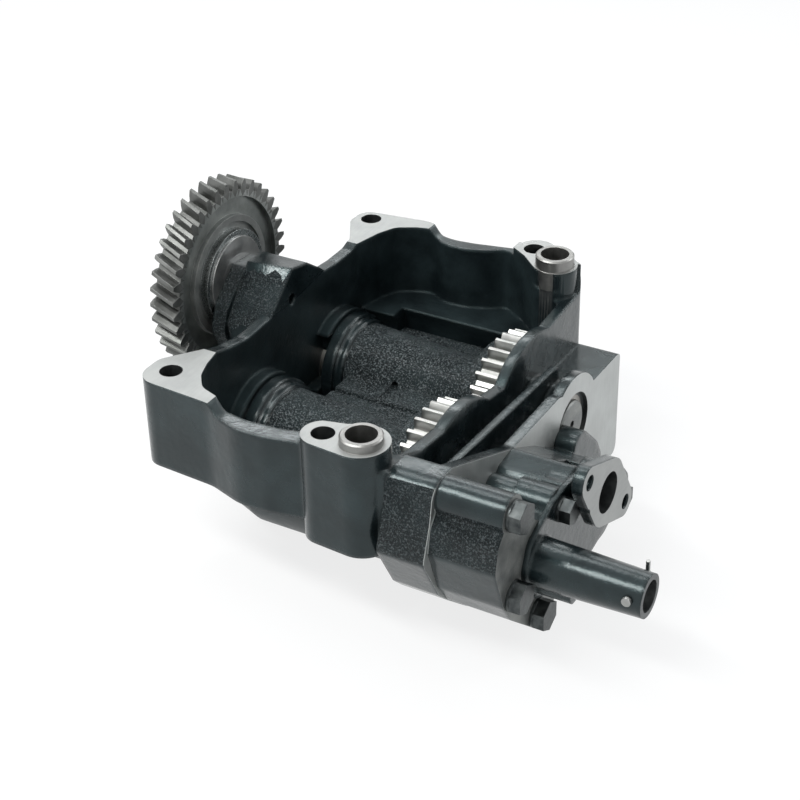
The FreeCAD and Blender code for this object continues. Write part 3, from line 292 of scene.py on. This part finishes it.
def makeMetal(name, light, dark, rough, cloud, stretch, marks, edge=bareMetal["edgeRadius"]):
    material, tree, shader, place = startMaterial(name)
    patches = addNoise(tree, place, cloud, bareMetal["cloudDetail"], bareMetal["cloudRoughness"])
    streaks = addNoise(tree, place, *bareMetal["markNoise"], stretch)
    base = addRamp(tree, patches, bareMetal["cloudSpan"], (dark, light))
    tree.links.new(base, shader.inputs["Base Color"])
    shader.inputs["Metallic"].default_value = 1.0
    mixed = addMath(tree, "ADD", addMath(tree, "MULTIPLY", patches, bareMetal["share"]),
                    addMath(tree, "MULTIPLY", streaks, bareMetal["share"]))
    tree.links.new(addRange(tree, mixed, bareMetal["roughSpan"], rough), shader.inputs["Roughness"])
    soft = roundedEdges(tree, edge)
    tree.links.new(addBump(tree, streaks, marks, bareMetal["markDepth"], soft), shader.inputs["Normal"])
    return material


bare = {name: makeMetal(name, **facts) for name, facts in metals.items()}
# The shaft casting carries strong painted glint specks on its grain
shaftCast = makeEnamel("shaftCasting", grainBump=(1.0, 0.0018), rough=(0.22, 0.36), coat=0.28,
                       coatRough=0.07, paintedGlintAmount=0.8, shine=0.12)
print("metals ready")


# Which faces of each node carry which finish; places are in millimetres

millimetres = 1000
flat = 0.15
facing = 0.9


def dress(node, finishes, pick):
    mesh = nodes[node].data
    mesh.materials.clear()
    slots = {}
    for label, finish in finishes.items():
        slots[label] = len(slots)
        mesh.materials.append(finish)
    for face in mesh.polygons:
        face.material_index = slots[pick(face.center * millimetres, face.normal)]


housingFaces = {
    "padTops": 0.0,
    "rearFace": 173.6,
    "boltHoles": ((0.0, -107.4), (0.0, 107.4), (107.1, -121.5), (110.4, 117.8)),
    "boltHoleReach": 6.6,
    "dowelHoles": ((129.3, -119.6), (130.7, 104.4)),
    "dowelHoleReach": 12.2,
    "dowelHoleFloor": -33,
    "shaftLines": ((-44.0, -68.0), (44.0, -68.0)),
    "shaftBoreReach": 20.6,
    "frontBores": 18.5,
    "rearBores": 139.0,
    "spindleBoreStart": -29.2,
    "flankFrom": 145,
    "flankSide": -115,
    "flankHeights": (-53.5, -14),
    "gearBossUpTo": 12,
    "gearBossSides": (-29, -4),
    "gearBossFacing": -0.3,
    "gearBossFloor": -45,
    "insideLength": (9.5, 141),
    "insideWidth": (-122, 118),
    "insideTop": -7,
}


def between(value, span):
    return span[0] < value < span[1]


def housingFinish(spot, normal):
    facts = housingFaces
    if abs(spot.z - facts["padTops"]) < flat and normal.z > facing:
        return "milledTop"
    # The rear joint face takes the painted-bright copy of milled iron
    if abs(spot.x - facts["rearFace"]) < flat and normal.x > facing:
        return "milledRearPaintedBright"
    for x, y in facts["boltHoles"]:
        if math.hypot(spot.x - x, spot.y - y) < facts["boltHoleReach"]:
            return "bored"
    for x, y in facts["dowelHoles"]:
        if math.hypot(spot.x - x, spot.y - y) < facts["dowelHoleReach"] and spot.z > facts["dowelHoleFloor"]:
            return "bored"
    for y, z in facts["shaftLines"]:
        within = math.hypot(spot.y - y, spot.z - z) < facts["shaftBoreReach"]
        if within and (spot.x > facts["rearBores"] or spot.x < facts["frontBores"]):
            return "bored"
    if spot.x < facts["spindleBoreStart"]:
        return "bored"
    if spot.x > facts["flankFrom"] and spot.y < facts["flankSide"] and between(spot.z, facts["flankHeights"]):
        return "sandCast"
    onBoss = spot.x < facts["gearBossUpTo"] and between(spot.y, facts["gearBossSides"])
    if onBoss and normal.y < facts["gearBossFacing"] and spot.z > facts["gearBossFloor"]:
        return "sandCast"
    deep = between(spot.x, facts["insideLength"]) and between(spot.y, facts["insideWidth"])
    return "inside" if deep and spot.z < facts["insideTop"] else "smooth"


dress("housing", {
    "smooth": paint, "sandCast": paintRough, "milledTop": bare["milledIron"], "bored": bare["boredIron"],
    "inside": paintInside, "milledRearPaintedBright": bare["milledIronRearPaintedBright"],
}, housingFinish)

pumpBodyFaces = {
    "frontJoint": 173.6,
    "rearJoint": 212.6,
    "pocketFloor": 188.6,
    "pocketFlat": 0.3,
    "flankSide": -118,
    "flankHeights": (-48, -24),
}


def pumpBodyFinish(spot, normal):
    facts = pumpBodyFaces
    if abs(spot.x - facts["rearJoint"]) < flat and normal.x > facing:
        return "turned"
    if normal.x < -facing and abs(spot.x - facts["frontJoint"]) < flat:
        return "milled"
    if spot.y < facts["flankSide"] and between(spot.z, facts["flankHeights"]):
        return "sandCast"
    if abs(spot.x - facts["pocketFloor"]) < facts["pocketFlat"] and normal.x > facing:
        return "turned"
    return "smooth"


dress("pump_body", {
    "smooth": paint, "sandCast": paintRough, "milled": bare["milledIron"], "turned": bare["turnedIronDull"],
}, pumpBodyFinish)

# A bore is its place across and up, and its reach
coverFaces = {
    "flangeFace": 230.6,
    "tubeEnd": 277.8,
    "boresFrom": 216,
    "bores": ((-34, -50, 12.1), (-86, -67, 9.1)),
}


def coverFinish(spot, normal):
    facts = coverFaces
    if abs(spot.x - facts["flangeFace"]) < flat and normal.x > facing:
        return "milled"
    if spot.x > facts["tubeEnd"]:
        return "bored"
    for y, z, reach in facts["bores"]:
        if math.hypot(spot.y - y, spot.z - z) < reach and spot.x > facts["boresFrom"]:
            return "bored"
    return "smooth"


dress("pump_cover", {
    "smooth": paint, "milled": bare["milledIron"], "bored": bare["boredIron"],
}, coverFinish)

shaftFaces = {
    "halfSpacing": 44.0,
    "height": -68,
    "frontJournal": 19.2,
    "rearJournal": 123.6,
    "collarUpTo": 32.1,
    "collarRadius": 29,
}


def shaftFinish(spot, normal):
    facts = shaftFaces
    centre = -facts["halfSpacing"] if spot.y < 0 else facts["halfSpacing"]
    radius = math.hypot(spot.y - centre, spot.z - facts["height"])
    if spot.x > facts["rearJournal"] or spot.x < facts["frontJournal"]:
        return "turned"
    if spot.x < facts["collarUpTo"] and radius > facts["collarRadius"]:
        return "collar"
    return "cast"


collarPaint = makeEnamel("collarEnamel", grainBump=(0.2, 0.0004), rough=(0.18, 0.30), coat=0.8)
for name in ("near_balance_shaft", "far_balance_shaft"):
    dress(name, {"cast": shaftCast, "turned": bare["turnedIronDull"], "collar": collarPaint}, shaftFinish)

driveGearFaces = {
    "height": 1.126,
    "discRadius": 29.1,
    "hubRadius": 37.2,
    "hubFrom": -38,
    "teethRadius": 50,
}


def driveGearFinish(spot, normal):
    facts = driveGearFaces
    radius = math.hypot(spot.y, spot.z - facts["height"])
    if radius < facts["discRadius"]:
        return "disc"
    if radius < facts["hubRadius"] and spot.x > facts["hubFrom"]:
        return "hub"
    return "teeth" if radius > facts["teethRadius"] else "web"


dress("drive_gear", {
    "web": bare["gearSteelDark"], "disc": bare["hubGroundDisc"], "hub": bare["turnedIronDull"],
    "teeth": bare["gearSteelTeeth"],
}, driveGearFinish)

# Pieces with one finish all over
plainPieces = {
    "gearSteelBright": ("near_timing_gear", "far_timing_gear", "relief_split_pin"),
    "gearSteelTeeth": ("drive_pinion",),
    "dowelSteel": ("ring_dowel_near", "ring_dowel_far"),
    "bearingMetal": ("front_bush_near", "front_bush_far", "rear_bush_near", "rear_bush_far", "gear_bush"),
    "turnedSteel": (
        "thrust_washer_near", "thrust_washer_far", "gear_spindle", "spindle_washer", "hub_thrust_ring",
        "pinion_washer", "pump_drive_gear", "pump_driven_gear", "pump_idler_spindle", "relief_plunger",
        "relief_cap", "relief_spring",
    ),
    "boltBlack": ("spindle_bolt", "pinion_bolt", "pump_bolts", "cover_bolts"),
}
for metal, pieces in plainPieces.items():
    for name in pieces:
        dress(name, {"all": bare[metal]}, lambda spot, normal: "all")
print("finishes assigned")


# Floor, light and camera

stage = {
    "floorSize": 6.0,
    "floorCentre": (0.1, 0.0),
    "floorColour": (0.86, 0.87, 0.88),
    "glowShare": 0.80,
    "glowStrength": 1.0,
    "skyColour": (0.93, 0.97, 1.0),
    "skyStrength": 0.55,
    "backdropColour": (1.0, 1.0, 1.0),
    "backdropStrength": 1.0,
}


# 1 for rays that the camera sees, straight, mirrored or through a piece
def addSeen(tree):
    path = tree.nodes.new("ShaderNodeLightPath")
    mirrored = addMath(tree, "MAXIMUM", path.outputs["Is Camera Ray"], path.outputs["Is Glossy Ray"])
    return addMath(tree, "MAXIMUM", mirrored, path.outputs["Is Transmission Ray"])


def addBackground(tree, colour, strength):
    background = tree.nodes.new("ShaderNodeBackground")
    background.inputs["Color"].default_value = (*colour, 1.0)
    background.inputs["Strength"].default_value = strength
    return background


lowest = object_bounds()[0][2]
bpy.ops.mesh.primitive_plane_add(size=stage["floorSize"], location=(*stage["floorCentre"], lowest))
floor = bpy.context.object
floor.name = "studioFloor"

floorMaterial = bpy.data.materials.new("studioFloorPaper")
floorMaterial.use_nodes = True
tree = floorMaterial.node_tree
tree.nodes.clear()
output = tree.nodes.new("ShaderNodeOutputMaterial")
diffuse = tree.nodes.new("ShaderNodeBsdfDiffuse")
diffuse.inputs["Color"].default_value = (*stage["floorColour"], 1.0)
glow = tree.nodes.new("ShaderNodeEmission")
glow.inputs["Strength"].default_value = stage["glowStrength"]
glowAmount = addMath(tree, "MULTIPLY", addSeen(tree), stage["glowShare"])
tree.links.new(mixShaders(tree, glowAmount, diffuse, glow), output.inputs["Surface"])
floor.data.materials.append(floorMaterial)

world = bpy.data.worlds.new("studioSky")
bpy.context.scene.world = world
world.use_nodes = True
tree = world.node_tree
tree.nodes.clear()
output = tree.nodes.new("ShaderNodeOutputWorld")
sky = addBackground(tree, stage["skyColour"], stage["skyStrength"])
backdrop = addBackground(tree, stage["backdropColour"], stage["backdropStrength"])
tree.links.new(mixShaders(tree, addSeen(tree), sky, backdrop), output.inputs["Surface"])

# Each lamp is aimed at half its own distance along the part
lampAim = {"across": 0.0, "height": -0.05}
lamps = {
    "keyPanel": {
        "place": (-0.32, -0.62, 0.92), "long": 1.1, "wide": 0.16, "power": 14.0, "colour": (1.0, 1.0, 0.98),
    },
    "topPanel": {
        "place": (-0.32, 0.12, 1.00), "long": 1.0, "wide": 0.10, "power": 3.5, "colour": (1.0, 1.0, 1.0),
    },
    "backPanel": {
        "place": (-0.32, 0.80, 0.62), "long": 1.0, "wide": 0.10, "power": 2.6, "colour": (0.97, 0.99, 1.0),
    },
    "sidePanel": {
        "place": (0.79, 0.86, 0.56), "long": 0.5, "wide": 0.20, "power": 3.0, "colour": (0.97, 0.99, 1.0),
    },
}
for name, facts in lamps.items():
    panel = bpy.data.lights.new(name, "AREA")
    panel.shape = "RECTANGLE"
    panel.size = facts["long"]
    panel.size_y = facts["wide"]
    panel.energy = facts["power"]
    panel.color = facts["colour"]
    lamp = bpy.data.objects.new(name, panel)
    lamp.location = facts["place"]
    aim = Vector((facts["place"][0] / 2, lampAim["across"], lampAim["height"]))
    lamp.rotation_euler = (aim - lamp.location).to_track_quat("-Z", "Y").to_euler()
    bpy.context.scene.collection.objects.link(lamp)

shot = {
    "place": (0.53674, -0.76828, 0.49616),
    "aim": (0.08467, -0.00469, -0.05000),
    "rollDegrees": -1.279,
    "focalPixels": 1782.12,
    "framePixels": 800,
    "sensorWidth": 36.0,
    "nearClip": 0.01,
}
lens = bpy.data.cameras.new("photoCamera")
lens.sensor_width = shot["sensorWidth"]
lens.lens = lens.sensor_width * shot["focalPixels"] / shot["framePixels"]
lens.clip_start = shot["nearClip"]
camera = bpy.data.objects.new("photoCamera", lens)
bpy.context.scene.collection.objects.link(camera)
place = Vector(shot["place"])
turn = (Vector(shot["aim"]) - place).to_track_quat("-Z", "Y").to_matrix()
roll = Matrix.Rotation(math.radians(shot["rollDegrees"]), 3, "Z")
camera.matrix_world = Matrix.Translation(place) @ (turn @ roll).to_4x4()
bpy.context.scene.camera = camera
bpy.context.scene.view_settings.view_transform = "Standard"
print("stage ready")
